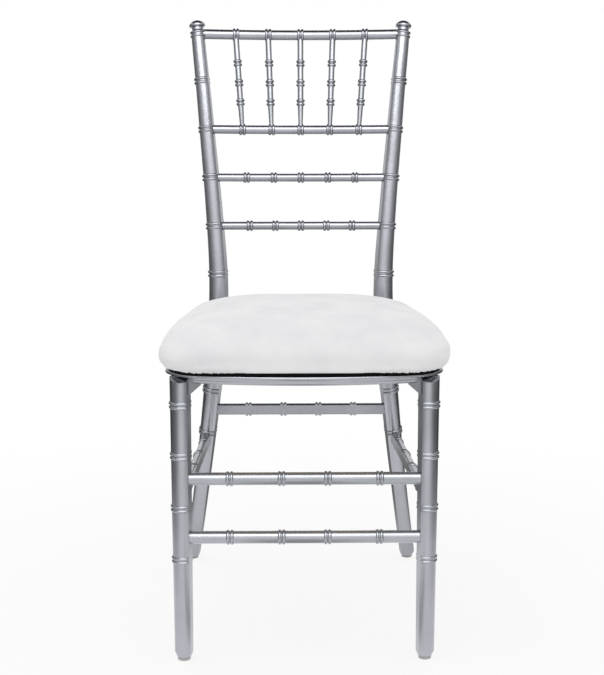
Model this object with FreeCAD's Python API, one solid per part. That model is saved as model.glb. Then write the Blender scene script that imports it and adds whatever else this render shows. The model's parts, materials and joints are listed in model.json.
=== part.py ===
import FreeCAD, Part
import math
import os

# Chiavari chair, in millimetres. +X is the viewer's right, +Y is back, +Z is up.
# The origin is on the floor, under the middle of the whole chair.
# Right-hand pieces are modelled and the left-hand ones are their mirror images.

V = FreeCAD.Vector
UP = V(0, 0, 1)
RIGHT = V(1, 0, 0)
BACK = V(0, 1, 0)

# Driving dimensions: overall layout
LEG_Y = -221.14           # axis of the front legs
LEG_X = 174.0             # half the spacing of the front legs
SEAT_TOP = 420.5          # top of the seat frame
SEAT_THICK = 14.6         # thickness of the seat frame
SEAT_HALF_WIDTH = 198.0   # half the width of the seat frame at its front corners
FRONT_OVERHANG = 33.0     # middle of the seat frame's front edge, in front of the leg axes
FRONT_BOW_R = 650.0       # plan radius of the bowed front edge
SIDE_TAPER = 10.0         # degrees that each side of the seat turns in towards the back
SEAT_CORNER = 55.0        # radius of the front corners of the seat frame
SIDE_TURN = 14.0          # degrees that the flat inner faces turn towards the front
GLUE_GAP = 0.1            # clearance round every tenon

# Driving dimensions: rear posts, as (height, half spacing, behind front legs, radius,
# distance of the flat inner face from the axis as a share of the radius)
POST_STATIONS = (
    (-10.0, 191.2, 470.8, 13.5, 0.80),
    (150.0, 167.8, 414.0, 13.6, 0.80),
    (300.0, 148.7, 371.5, 15.2, 0.80),
    (430.0, 136.2, 350.0, 16.5, 0.82),
    (510.0, 133.9, 347.8, 15.7, 0.84),
    (600.0, 138.8, 354.2, 14.2, 0.86),
    (750.0, 151.8, 375.5, 12.4, 0.90),
    (903.0, 166.3, 405.0, 10.8, 0.96),
    (925.0, 168.3, 409.6, 10.6, 0.96),
)
POST_SECTIONS = 15
POST_TOP = 905.0          # top of the shaft, inside the finial
POST_RINGS = (249.0, 324.0, 519.0, 596.0, 673.5, 750.5, 827.5)
RING_RISE = 2.1           # how far a ring on a post stands out
RING_ROOT = 0.45          # how deep a loose ring starts inside its member
RING_WIDTH = 4.6
RING_PITCH = 6.2          # between the two rings of a pair
FINIAL_BASE = 893.0
FINIAL_HEIGHT = 32.3      # from the finial's base to the top of its dome, along the post
FINIAL_NECK_R = 9.0
FINIAL_R = 13.0
FINIAL_FLAT = 12.6        # flat inner face of the finial, from its axis

# Driving dimensions: front legs
LEG_R_TOP = 15.4
LEG_R_FOOT = 13.4
LEG_FLAT = 11.9           # distance of the flat inner face from the leg's axis
LEG_SHOULDER_Z = 409.3    # front edge of the slanted top of the leg
LEG_SHOULDER_TILT = 21.0  # degrees that it rises towards the back
LEG_RINGS = (151.0, 227.0, 303.0, 376.0)
LEG_RING_RISE = 1.7
LEG_RING_WIDTH = 4.6
LEG_RING_PITCH = 5.8

# Driving dimensions: feet
GLIDE_R = 9.3
GLIDE_H = 5.5
FOOT_END_R = 10.4
FOOT_CHAMFER_H = 7.0
NAIL_R = 1.4
NAIL_HEAD_R = 4.0
NAIL_TOP = 21.0
NAIL_BOTTOM = 1.6
NAIL_HEAD_H = 1.0

# Driving dimensions: back rails, as (name, height, radius, ring places as a share of half length)
BACK_RAILS = (
    ("top_rail", 903.0, 8.0, (0.0, 0.317, 0.634)),
    ("back_rail_upper", 750.5, 7.0, (0.0, 0.312, 0.624)),
    ("back_rail_middle", 673.5, 6.5, (0.0, 0.304, 0.608)),
    ("back_rail_lower", 596.0, 6.5, (0.0, 0.301, 0.602)),
)
BOW_RADIUS = 880.0        # plan radius of the bowed back rails
BOW_TILT = 5.0            # degrees that the bow dips towards the back
RAIL_TENON_R = 4.5
RAIL_RING_RISE = 2.2
RAIL_RING_WIDTH = 5.0
RAIL_RING_PITCH = 5.7

# Driving dimensions: spindles between the two upper rails
SPINDLE_R_TOP = 4.8
SPINDLE_R_WAIST = 4.7     # at the lowest double ring
SPINDLE_R_FOOT = 3.3
SPINDLE_RINGS = (0.287, 0.49, 0.70)   # share of the length, from the lower rail up
SPINDLE_RING_RISE = 2.3
SPINDLE_RING_WIDTH = 5.2
SPINDLE_RING_PITCH = 6.0
SPINDLE_TENON_R = 2.4
SPINDLE_TENON_STOP = 2.2  # from a rail's centre line to the end of a tenon

# Driving dimensions: stretchers
FRONT_STRETCHERS = (("front_stretcher_lower", 182.2), ("front_stretcher_upper", 268.2))
STRETCHER_R = 9.0
STRETCHER_RING_RISE = 1.7
STRETCHER_RING_WIDTH = 5.0
STRETCHER_RING_PITCH = 5.8
FRONT_RING_PLACES = (-106.5, -32.8, 32.8, 106.5)
FRONT_TENON_R = 6.5
FRONT_TENON_END = LEG_X + 3.5
SIDE_STRETCHER_Z = 238.0
SIDE_FLAT = 5.0           # flat inner face of a side stretcher, from its axis
SIDE_RING_PLACES = (79.0, 163.0, 247.0, 331.0)
SIDE_TENON_R = 4.8
SIDE_TENON_DEPTH = 14.0
REAR_STRETCHER_Z = 287.4
REAR_STRETCHER_R = 9.4
REAR_FLAT = 6.2           # flat front face of the rear stretcher, from its axis
REAR_RING_PLACES = (-87.3, -29.1, 29.1, 87.3)
REAR_TENON_R = 5.2
REAR_TENON_DEPTH = 13.0

# Driving dimensions: seat frame
LIP_THICK = 4.5           # lip that stands out round the top of the seat frame
LIP_INSET = 9.0           # how far the body stands back under the lip
COVE_R = 4.0              # hollow between the lip and the body
BODY_ROUND = 5.0          # rounding of the body's lower edge
LIP_TOP_ROUND = 2.2
LIP_UNDER_ROUND = 1.5
FRONT_RAIL_DEPTH = 66.0
SIDE_RAIL_WIDTH = 45.0
REAR_RAIL_FRONT = 330.0   # front face of the rear rail, behind the front legs
REAR_RAIL_BACK = 364.0
REAR_RAIL_HALF = 124.0    # half length of the rear rail between the side rails
SIDE_RAIL_END = 345.0     # end of the side rail's tenon, behind the front legs
REBATE = 10.0             # width of the ledge under the seat panel
PANEL_THICK = 5.0
PANEL_RECESS = 3.0        # seat panel below the top of the seat frame
TENON_LOW = 3.5           # flat tenons, above the underside of the seat frame
TENON_HIGH = 10.5
FRONT_TENON_X = (163.0, 178.5)
FRONT_TENON_LENGTH = 14.0
POST_TENON_X = (126.0, 138.0)
REAR_RAIL_TENON_Y = (349.5, 361.0)
REAR_RAIL_TENON_X = 127.5
BRACE_WIDTH = 20.0
BRACE_HEIGHT = 16.5
BRACE_THICK = 12.0
BRACE_Y = 3.0             # middle of the brace, behind the leg's axis

# Driving dimensions: hidden fasteners
LEG_SCREW_R = 2.2
LEG_SCREW_LENGTH = 52.0
LEG_SCREW_X = 168.0
LEG_SCREW_Y = 7.0         # behind the leg's axis
SCREW_HEAD_R = 4.4
BOLT_X = 133.5
BOLT_R = 2.5
BOLT_HEAD_R = 4.6
BOLT_HEAD_H = 4.0
BOLT_HEAD_Y = 357.0       # under the head, behind the front legs
BOLT_END_Y = 289.0
BARREL_Y = 296.0
BARREL_R = 5.0
BARREL_H = 11.0
PANEL_SCREW_R = 1.5
PANEL_SCREW_HEAD_R = 3.0
PANEL_SCREW_LENGTH = 9.5
BRACE_SCREW_R = 1.5
BRACE_SCREW_HEAD_R = 2.8
SCREW_GAP = 0.05          # clearance round screws, bolts and nails

# Driving dimensions: cushion
BOARD_GAP = 0.4           # air between the seat frame and the cushion's board
BOARD_THICK = 4.7
BOARD_INSET = 1.5         # board inside the hem of the cover
HEM_HALF_FRONT = 197.0    # outline of the hem, at the bottom of the cover
HEM_HALF_BACK = 176.0
HEM_FRONT = -23.5         # relative to the front legs
HEM_BACK = 322.0
HEM_CORNER = 56.0
HEM_BULGES = (7.5, 5.0, 2.0, 5.0)   # how far its front, right, back and left edges bow out
PAD_HALF_FRONT = 209.0    # widest outline of the cover
PAD_HALF_BACK = 185.0
PAD_FRONT = -31.5
PAD_BACK = 325.5
PAD_CORNER = 54.0
PAD_BULGES = (2.5, 6.0, 2.0, 6.0)
PAD_BELLY = 21.5          # height of the widest outline above the board
PAD_CROWN = 62.0          # height of the crown above the widest outline
PAD_CROWN_POWER = 0.52
PAD_HEM = ((0.0, 0.0), (5.5, 0.58), (12.5, 0.90))   # (above the board, share of the way out)
PAD_DEGREE = 2            # of the cushion's surface from one outline to the next
PAD_SHARES = (1.0, 0.99, 0.962, 0.91, 0.83, 0.72, 0.58, 0.42, 0.24)
COVER_THICK = 1.5
HOOK_PAD = 40.0
LOOP_PAD_THICK = 1.4
HOOK_PAD_THICK = 1.5
HOOK_PAD_PLACES = ((110.0, 85.0), (95.0, 265.0))

SEAT_UNDER = SEAT_TOP - SEAT_THICK
LIP_UNDER = SEAT_TOP - LIP_THICK
PANEL_TOP = SEAT_TOP - PANEL_RECESS
PANEL_UNDER = PANEL_TOP - PANEL_THICK
BOARD_UNDER = SEAT_TOP + BOARD_GAP
BOARD_TOP = BOARD_UNDER + BOARD_THICK


# Small tools for solids

def box(low, high):
    """Box between two corners."""
    size = high - low
    return Part.makeBox(size.x, size.y, size.z, low)


def rod(start, end, radius):
    """Cylinder from one point to another."""
    run = end - start
    return Part.makeCylinder(radius, run.Length, start, run)


def prism(points, low, high):
    """Upright solid on a plan outline given as (x, y) corners."""
    corners = [V(x, y, low) for x, y in points]
    wire = Part.makePolygon(corners + [corners[0]])
    return Part.Face(wire).extrude(V(0, 0, high - low))


def mirrored(shape):
    """Left-hand copy of a right-hand shape."""
    return shape.mirror(V(0, 0, 0), RIGHT)


def both(shape):
    """A right-hand shape and its left-hand copy."""
    return [shape, mirrored(shape)]


def join(shape, others):
    """Fuse shapes and drop the seams between faces of one surface."""
    return shape.fuse(others).removeSplitter()


def straight_side(axis):
    """A unit vector square to an axis."""
    guide = BACK if abs(axis.y) < 0.9 else RIGHT
    side = axis.cross(guide)
    side.normalize()
    return side


def turned(outline, beads, origin, axis):
    """Solid turned on an axis.

    outline holds (distance, radius) corners, and beads holds (distance, width, rise) rings.
    """
    side = straight_side(axis)

    def spot(distance, radius):
        return origin + axis * distance + side * radius

    def radius_at(distance):
        for (s0, r0), (s1, r1) in zip(outline, outline[1:]):
            if s0 <= distance <= s1 and s1 > s0:
                return r0 + (r1 - r0) * (distance - s0) / (s1 - s0)
        return outline[-1][1]

    corners = [(s, r, None) for s, r in outline]
    for centre, width, rise in beads:
        start = centre - width / 2
        corners.append((start, radius_at(start), (centre, width, rise)))
    corners.sort(key=lambda corner: corner[0])
    points = [spot(outline[0][0], 0.0)]
    edges = []

    def line_to(point):
        if (point - points[-1]).Length > 1e-6:
            edges.append(Part.makeLine(points[-1], point))
            points.append(point)

    for s, r, bead in corners:
        line_to(spot(s, r))
        if bead:
            centre, width, rise = bead
            top = spot(centre, radius_at(centre) + rise)
            end = spot(centre + width / 2, radius_at(centre + width / 2))
            edges.append(Part.Arc(points[-1], top, end).toShape())
            points.append(end)
    line_to(spot(outline[-1][0], 0.0))
    line_to(points[0])
    face = Part.Face(Part.Wire(edges))
    return face.revolve(origin, axis, 360)


def pair(centre, pitch, width, rise):
    """The two beads of a double ring."""
    return [(centre - pitch / 2, width, rise), (centre + pitch / 2, width, rise)]


def ring(point, axis, radius, width, rise):
    """One loose bead round an axis, to be joined to a curved member."""
    side = straight_side(axis)

    def spot(distance, out):
        return point + axis * distance + side * out

    inner_low = spot(-width / 2, radius * 0.6)
    outer_low = spot(-width / 2, radius - RING_ROOT)
    top = spot(0, radius + rise)
    outer_high = spot(width / 2, radius - RING_ROOT)
    inner_high = spot(width / 2, radius * 0.6)
    edges = [
        Part.makeLine(inner_low, outer_low),
        Part.Arc(outer_low, top, outer_high).toShape(),
        Part.makeLine(outer_high, inner_high),
        Part.makeLine(inner_high, inner_low),
    ]
    return Part.Face(Part.Wire(edges)).revolve(point, axis, 360)


# Rear posts

def post_value(z, column):
    """Smooth curve through one column of the post stations."""
    rows = POST_STATIONS
    for i in range(len(rows) - 1):
        if z <= rows[i + 1][0] or i == len(rows) - 2:
            break

    def slope(j):
        low = max(j - 1, 0)
        high = min(j + 1, len(rows) - 1)
        return (rows[high][column] - rows[low][column]) / (rows[high][0] - rows[low][0])

    span = rows[i + 1][0] - rows[i][0]
    t = (z - rows[i][0]) / span
    start = rows[i][column]
    end = rows[i + 1][column]
    out = (2 * t ** 3 - 3 * t ** 2 + 1) * start
    out += (t ** 3 - 2 * t ** 2 + t) * span * slope(i)
    out += (3 * t ** 2 - 2 * t ** 3) * end
    out += (t ** 3 - t ** 2) * span * slope(i + 1)
    return out


def post_point(z):
    """Axis of the right-hand post at a height."""
    return V(post_value(z, 1), LEG_Y + post_value(z, 2), z)


def post_axis(z):
    """Unit direction of the right-hand post at a height."""
    step = post_point(z + 1) - post_point(z - 1)
    step.normalize()
    return step


def post_flat(z):
    """Distance of the post's flat inner face from its axis at a height."""
    return post_value(z, 3) * post_value(z, 4)


def inward(axis):
    """Direction that the flat face of a right-hand member looks, square to its axis."""
    turn = math.radians(SIDE_TURN)
    look = V(-math.cos(turn), -math.sin(turn), 0)
    look = look - axis * look.dot(axis)
    look.normalize()
    return look


def d_section(z):
    """D-shaped outline of the right-hand post at a height."""
    centre = post_point(z)
    axis = post_axis(z)
    look = inward(axis)
    across = axis.cross(look)
    radius = post_value(z, 3)
    half = math.acos(post_value(z, 4))

    def spot(angle):
        along = look * (radius * math.cos(angle))
        return centre + along + across * (radius * math.sin(angle))

    start = spot(half)
    outer = spot(math.pi)
    end = spot(2 * math.pi - half)
    edges = [
        Part.Arc(start, spot((half + math.pi) / 2), outer).toShape(),
        Part.Arc(outer, spot((3 * math.pi - half) / 2), end).toShape(),
        Part.makeLine(end, start),
    ]
    return Part.Wire(edges)


def post_flat_tool(z, height):
    """Block on the inner side of the post's flat face, to trim what sits on the post."""
    centre = post_point(z)
    axis = post_axis(z)
    look = inward(axis)
    across = axis.cross(look)
    reach = 40.0
    face_at = centre + look * (post_flat(z) - 0.25)
    corners = []
    for side, up in ((-1, -1), (1, -1), (1, 1), (-1, 1)):
        corner = face_at + across * (side * reach)
        corners.append(corner + axis * (up * height / 2))
    face = Part.Face(Part.makePolygon(corners + [corners[0]]))
    return face.extrude(look * reach)


def post_ring_pair(z):
    """Double ring on the round side of the post."""
    axis = post_axis(z)
    radius = post_value(z, 3)
    rings = []
    for side in (-0.5, 0.5):
        point = post_point(z) + axis * (side * RING_PITCH)
        rings.append(ring(point, axis, radius, RING_WIDTH, RING_RISE))
    tool = post_flat_tool(z, 4 * RING_PITCH)
    return [item.cut(tool) for item in rings]


def finial():
    """Turned top of the post: ring pair, neck and domed button."""
    base = post_point(FINIAL_BASE)
    axis = post_axis(FINIAL_BASE)
    shaft = post_value(FINIAL_BASE, 3)
    root = shaft - 0.4
    core = shaft - 2.0
    side = straight_side(axis)
    rim = FINIAL_R - 0.8
    cap = FINIAL_HEIGHT - 26.4
    ball = (rim ** 2 + cap ** 2) / (2 * cap)
    half = math.asin(rim / ball) / 2
    cap_middle = FINIAL_HEIGHT - ball * (1 - math.cos(half))

    def spot(distance, out):
        return base + axis * distance + side * out

    edges = [
        Part.makeLine(spot(2.0, 0), spot(2.0, core)),
        Part.makeLine(spot(2.0, core), spot(4.0, core)),
        Part.makeLine(spot(4.0, core), spot(4.2, root)),
        Part.Arc(spot(4.2, root), spot(6.2, shaft + 1.9), spot(8.2, root)).toShape(),
        Part.makeLine(spot(8.2, root), spot(8.4, core)),
        Part.makeLine(spot(8.4, core), spot(10.2, core)),
        Part.makeLine(spot(10.2, core), spot(10.4, root)),
        Part.Arc(spot(10.4, root), spot(12.4, shaft + 1.9), spot(14.4, root)).toShape(),
        Part.makeLine(spot(14.4, root), spot(16.6, FINIAL_NECK_R)),
        Part.makeLine(spot(16.6, FINIAL_NECK_R), spot(20.4, FINIAL_NECK_R)),
        Part.makeLine(spot(20.4, FINIAL_NECK_R), spot(21.4, rim)),
        Part.Arc(spot(21.4, rim), spot(24.0, FINIAL_R), spot(26.4, rim)).toShape(),
        Part.Arc(spot(26.4, rim), spot(cap_middle, ball * math.sin(half)),
                 spot(FINIAL_HEIGHT, 0)).toShape(),
        Part.makeLine(spot(FINIAL_HEIGHT, 0), spot(2.0, 0)),
    ]
    whole = Part.Face(Part.Wire(edges)).revolve(base, axis, 360)
    look = inward(axis)
    flat = base + look * FINIAL_FLAT
    across = axis.cross(look)
    corners = []
    for aside, up in ((-30, -5), (30, -5), (30, 45), (-30, 45)):
        corners.append(flat + across * aside + axis * up)
    face = Part.Face(Part.makePolygon(corners + [corners[0]]))
    return whole.cut(face.extrude(look * 30))


def foot_tool(centre, axis, radius):
    """What is taken off the end of a leg to leave a chamfered foot."""
    spare = 14.0
    rise = FOOT_CHAMFER_H * 1.1
    low = V(centre.x, centre.y, GLIDE_H)
    start = low - axis * spare
    core = Part.makeCylinder(FOOT_END_R, spare, start, axis)
    cone = Part.makeCone(FOOT_END_R, radius + 1.0, rise, low, axis)
    around = Part.makeCylinder(34.0, spare + rise - 0.1, start, axis)
    below = Part.makeCylinder(60.0, 40.0, V(centre.x, centre.y, GLIDE_H - 40.0), UP)
    return around.cut([core, cone]).fuse(below)


def build_post():
    """Right-hand rear post before its mortises are cut."""
    low = POST_STATIONS[0][0]
    step = (POST_TOP - low) / (POST_SECTIONS - 1)
    wires = [d_section(low + step * i) for i in range(POST_SECTIONS)]
    shaft = Part.makeLoft(wires, True, False)
    foot_at = post_point(GLIDE_H)
    shaft = shaft.cut(foot_tool(foot_at, post_axis(GLIDE_H), post_value(GLIDE_H, 3)))
    extras = [finial()]
    for z in POST_RINGS:
        extras += post_ring_pair(z)
    return join(shaft, extras)


# Front legs

def leg_flat_tool(flat):
    """What is taken off the inner side of the right-hand front leg to leave its flat face."""
    look = inward(UP)
    across = UP.cross(look)
    middle = V(LEG_X, LEG_Y, 0) + look * flat
    corners = []
    for side, out in ((-30, 0), (30, 0), (30, 30), (-30, 30)):
        spot = middle + across * side + look * out
        corners.append((spot.x, spot.y))
    return prism(corners, -1.0, SEAT_TOP + 5)


def leg_shoulder_tool():
    """What is taken off the top of the right-hand front leg to leave its slanted shoulder."""
    slope = math.tan(math.radians(LEG_SHOULDER_TILT))
    reach = 2 * LEG_R_TOP
    front = LEG_Y - LEG_R_TOP
    corners = [
        V(LEG_X - reach, front - reach, LEG_SHOULDER_Z - reach * slope),
        V(LEG_X - reach, front + 2 * reach, LEG_SHOULDER_Z + 2 * reach * slope),
        V(LEG_X - reach, front + 2 * reach, SEAT_TOP + reach),
        V(LEG_X - reach, front - reach, SEAT_TOP + reach),
    ]
    face = Part.Face(Part.makePolygon(corners + [corners[0]]))
    return face.extrude(V(2 * reach, 0, 0))


def build_leg():
    """Right-hand front leg before its mortises are cut."""
    outline = [
        (0.0, FOOT_END_R),
        (FOOT_CHAMFER_H, LEG_R_FOOT),
        (SEAT_UNDER - GLIDE_H, LEG_R_TOP),
        (LIP_UNDER - GLIDE_H, LEG_R_TOP),
    ]
    beads = []
    for z in LEG_RINGS:
        beads += pair(z - GLIDE_H, LEG_RING_PITCH, LEG_RING_WIDTH, LEG_RING_RISE)
    leg = turned(outline, beads, V(LEG_X, LEG_Y, GLIDE_H), UP)
    return leg.cut([leg_flat_tool(LEG_FLAT), leg_shoulder_tool()])


def leg_socket():
    """Mortise in the front rail that takes the top of the right-hand front leg."""
    hole = rod(V(LEG_X, LEG_Y, SEAT_UNDER - 1.0), V(LEG_X, LEG_Y, LIP_UNDER), LEG_R_TOP + GLUE_GAP)
    return hole.cut(leg_flat_tool(LEG_FLAT + GLUE_GAP))


# Seat frame

def seat_corner():
    """Centre of the seat's right front corner: its X, and its distance behind the legs."""
    x = SEAT_HALF_WIDTH - SEAT_CORNER
    reach = math.sqrt((FRONT_BOW_R - SEAT_CORNER) ** 2 - x ** 2)
    return x, FRONT_BOW_R - FRONT_OVERHANG - reach


def side_x(y, inset):
    """X of the seat's right side, drawn in square to the edge, at a distance behind the legs."""
    taper = math.radians(SIDE_TAPER)
    corner_x, corner_y = seat_corner()
    edge_x = corner_x + SEAT_CORNER * math.cos(taper)
    edge_y = corner_y + SEAT_CORNER * math.sin(taper)
    return edge_x - (y - edge_y) * math.tan(taper) - inset / math.cos(taper)


def seat_outline(inset, z):
    """Plan outline of the seat frame, drawn in by an inset on all sides but the back."""
    taper = math.radians(SIDE_TAPER)
    corner_x, corner_y = seat_corner()
    bow_end = math.asin(corner_x / (FRONT_BOW_R - SEAT_CORNER)) - math.pi / 2
    radius = SEAT_CORNER - inset
    back_y = LEG_Y + REAR_RAIL_BACK
    back_x = side_x(REAR_RAIL_BACK, inset)

    def on_corner(angle, sign):
        x = corner_x + radius * math.cos(angle)
        return V(sign * x, LEG_Y + corner_y + radius * math.sin(angle), z)

    middle = (bow_end + taper) / 2
    nose = V(0, LEG_Y - FRONT_OVERHANG + inset, z)
    edges = [
        Part.Arc(on_corner(bow_end, -1), nose, on_corner(bow_end, 1)).toShape(),
        Part.Arc(on_corner(bow_end, 1), on_corner(middle, 1), on_corner(taper, 1)).toShape(),
        Part.makeLine(on_corner(taper, 1), V(back_x, back_y, z)),
        Part.makeLine(V(back_x, back_y, z), V(-back_x, back_y, z)),
        Part.makeLine(V(-back_x, back_y, z), on_corner(taper, -1)),
        Part.Arc(on_corner(taper, -1), on_corner(middle, -1), on_corner(bow_end, -1)).toShape(),
    ]
    return Part.Wire(edges)


def edges_along(shape, wire):
    """Edges of a shape that run along a wire, without those at the seat's back."""
    found = []
    for edge in shape.Edges:
        middle = edge.valueAt((edge.FirstParameter + edge.LastParameter) / 2)
        if middle.y > LEG_Y + REAR_RAIL_BACK - 1.0:
            continue
        if wire.distToShape(Part.Vertex(middle))[0] < 0.01:
            found.append(edge)
    return found


def seat_slab():
    """The whole seat frame as one slab: a rounded body, and a lip with a cove under it."""
    body = Part.Face(seat_outline(LIP_INSET, SEAT_UNDER)).extrude(V(0, 0, SEAT_THICK))
    lip = Part.Face(seat_outline(0.0, LIP_UNDER)).extrude(V(0, 0, LIP_THICK))
    slab = join(body, lip)
    slab = slab.makeFillet(COVE_R, edges_along(slab, seat_outline(LIP_INSET, LIP_UNDER)))
    slab = slab.makeFillet(BODY_ROUND, edges_along(slab, seat_outline(LIP_INSET, SEAT_UNDER)))
    slab = slab.makeFillet(LIP_TOP_ROUND, edges_along(slab, seat_outline(0.0, SEAT_TOP)))
    return slab.makeFillet(LIP_UNDER_ROUND, edges_along(slab, seat_outline(0.0, LIP_UNDER)))


def opening(inset, low, high):
    """Upright solid over the hole in the seat frame, grown by a rebate."""
    front = FRONT_RAIL_DEPTH - FRONT_OVERHANG - inset
    back = REAR_RAIL_FRONT + inset
    width = SIDE_RAIL_WIDTH - inset
    points = [
        (side_x(front, width), LEG_Y + front),
        (side_x(back, width), LEG_Y + back),
        (-side_x(back, width), LEG_Y + back),
        (-side_x(front, width), LEG_Y + front),
    ]
    return prism(points, low, high)


def flat_tenon(x_range, y_range, gap):
    """Flat tenon at the height of all seat frame tenons."""
    low = V(x_range[0] - gap, LEG_Y + y_range[0] - gap, SEAT_UNDER + TENON_LOW - gap)
    high = V(x_range[1] + gap, LEG_Y + y_range[1] + gap, SEAT_UNDER + TENON_HIGH + gap)
    return box(low, high)


def front_corner_tenon(gap):
    """Tenon of the right side rail in the front rail."""
    joint = FRONT_RAIL_DEPTH - FRONT_OVERHANG
    return flat_tenon(FRONT_TENON_X, (joint - FRONT_TENON_LENGTH, joint + 2.0), gap)


def side_post_tenon(gap):
    """Tenon of the right side rail in the rear post."""
    return flat_tenon(POST_TENON_X, (REAR_RAIL_FRONT - 8.0, SIDE_RAIL_END), gap)


def rear_post_tenon(gap):
    """Tenon of the rear rail in the right-hand post."""
    return flat_tenon((108.0, REAR_RAIL_TENON_X), REAR_RAIL_TENON_Y, gap)


def seat_region(low_y, high_y, low_x, high_x):
    """Tall block over part of the seat, with distances behind the front legs."""
    return box(V(low_x, LEG_Y + low_y, SEAT_UNDER - 1), V(high_x, LEG_Y + high_y, SEAT_TOP + 1))


def leg_brace():
    """Small triangular block in the corner of the right-hand leg and the front rail.

    It is drawn up into the rail, whose rounded underside is cut out of it later.
    """
    inner = LEG_X - LEG_FLAT
    front = LEG_Y + BRACE_Y - BRACE_THICK / 2
    tip = inner - BRACE_WIDTH + 3
    points = [
        V(inner + 4, front, SEAT_UNDER + BODY_ROUND),
        V(inner + 4, front, SEAT_UNDER - BRACE_HEIGHT),
        V(inner, front, SEAT_UNDER - BRACE_HEIGHT),
        V(tip, front, SEAT_UNDER - 1.5),
        V(tip, front, SEAT_UNDER + BODY_ROUND),
    ]
    face = Part.Face(Part.makePolygon(points + [points[0]]))
    return face.extrude(V(0, BRACE_THICK, 0))


# Bowed back rails

def rail_frame(z):
    """Centre of the arc of the back rail at a height, and the direction that the arc bows to."""
    half = post_value(z, 1)
    tilt = math.radians(BOW_TILT)
    bow = V(0, math.cos(tilt), -math.sin(tilt))
    middle = V(0, LEG_Y + post_value(z, 2), z)
    return middle - bow * math.sqrt(BOW_RADIUS ** 2 - half ** 2), bow


def rail_point(z, x):
    """Point on a rail's centre line, and its direction there."""
    centre, bow = rail_frame(z)
    angle = math.asin(x / BOW_RADIUS)
    out = RIGHT * math.sin(angle) + bow * math.cos(angle)
    along = RIGHT * math.cos(angle) - bow * math.sin(angle)
    return centre + out * BOW_RADIUS, along


def bowed_rod(z, radius, reach):
    """Round bar along a rail's arc, from -reach to reach in X."""
    centre, bow = rail_frame(z)
    start, along = rail_point(z, -reach)
    face = Part.Face(Part.Wire(Part.makeCircle(radius, start, along)))
    sweep = 2 * math.degrees(math.asin(reach / BOW_RADIUS))
    return face.revolve(centre, bow.cross(RIGHT), sweep)


def build_rail(z, radius, places):
    """Bowed rail with its double rings, long enough to reach into both posts."""
    half = post_value(z, 1)
    rail = bowed_rod(z, radius, half)
    spots = sorted(set([place * half for place in places] + [-place * half for place in places]))
    rings = []
    for x in spots:
        for side in (-0.5, 0.5):
            point, along = rail_point(z, x + side * RAIL_RING_PITCH)
            rings.append(ring(point, along, radius, RAIL_RING_WIDTH, RAIL_RING_RISE))
    return join(rail, rings)


def rail_tenon(z, gap):
    """Round tenons at both ends of a rail, as one bar right through it."""
    return bowed_rod(z, RAIL_TENON_R + gap, post_value(z, 1) + 1.5 + gap)


# Spindles

def spindle_line(place):
    """Lower and upper ends of a spindle, on the centre lines of its two rails."""
    _, top_z, _, top_places = BACK_RAILS[0]
    _, low_z, _, low_places = BACK_RAILS[1]
    sign = 1 if place >= 0 else -1
    upper = rail_point(top_z, sign * top_places[abs(place)] * post_value(top_z, 1))[0]
    lower = rail_point(low_z, sign * low_places[abs(place)] * post_value(low_z, 1))[0]
    return lower, upper


def build_spindle(place):
    """Turned spindle from rail to rail, before it is shaped to the rails."""
    lower, upper = spindle_line(place)
    axis = upper - lower
    length = axis.Length
    axis.normalize()
    waist = SPINDLE_RINGS[0] * length
    outline = [(0.0, SPINDLE_R_FOOT), (waist, SPINDLE_R_WAIST), (length, SPINDLE_R_TOP)]
    beads = []
    for share in SPINDLE_RINGS:
        beads += pair(share * length, SPINDLE_RING_PITCH, SPINDLE_RING_WIDTH, SPINDLE_RING_RISE)
    return turned(outline, beads, lower, axis)


def spindle_tenon(place, gap):
    """Round tenons at both ends of a spindle, as one pin right through it."""
    lower, upper = spindle_line(place)
    axis = upper - lower
    axis.normalize()
    stop = SPINDLE_TENON_STOP - gap
    start = lower + axis * stop
    end = upper - axis * stop
    return rod(start, end, SPINDLE_TENON_R + gap)


# Stretchers

def build_front_stretcher(z):
    """Turned bar between the axes of the front legs."""
    outline = [(-LEG_X, STRETCHER_R), (LEG_X, STRETCHER_R)]
    beads = []
    for x in FRONT_RING_PLACES:
        beads += pair(x, STRETCHER_RING_PITCH, STRETCHER_RING_WIDTH, STRETCHER_RING_RISE)
    return turned(outline, beads, V(0, LEG_Y, z), RIGHT)


def front_stretcher_tenon(z, gap):
    """Round tenons at both ends of a front stretcher, as one bar right through it."""
    end = FRONT_TENON_END + gap
    return rod(V(-end, LEG_Y, z), V(end, LEG_Y, z), FRONT_TENON_R + gap)


def side_stretcher_line():
    """Ends of the right side stretcher on the axes of the leg and the post, and its direction."""
    start = V(LEG_X, LEG_Y, SIDE_STRETCHER_Z)
    end = post_point(SIDE_STRETCHER_Z)
    axis = end - start
    length = axis.Length
    axis.normalize()
    return start, end, axis, length


def build_side_stretcher():
    """Right side stretcher with a flat inner face."""
    start, end, axis, length = side_stretcher_line()
    beads = []
    for y in SIDE_RING_PLACES:
        beads += pair(y, STRETCHER_RING_PITCH, STRETCHER_RING_WIDTH, STRETCHER_RING_RISE)
    bar = turned([(0.0, STRETCHER_R), (length, STRETCHER_R)], beads, start, axis)
    look = UP.cross(axis)
    corners = []
    for along, out in ((-5, 0), (length + 5, 0), (length + 5, 30), (-5, 30)):
        spot = start + axis * along + look * (SIDE_FLAT + out)
        corners.append((spot.x, spot.y))
    return bar.cut(prism(corners, SIDE_STRETCHER_Z - 30, SIDE_STRETCHER_Z + 30))


def side_stretcher_tenon(gap):
    """Round tenons at both ends of the right side stretcher, as one bar right through it."""
    start, end, axis, length = side_stretcher_line()
    into_leg = LEG_R_TOP - SIDE_TENON_DEPTH - gap
    into_post = post_value(SIDE_STRETCHER_Z, 3) - SIDE_TENON_DEPTH - gap
    return rod(start + axis * into_leg,
               end - axis * into_post, SIDE_TENON_R + gap)


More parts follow.
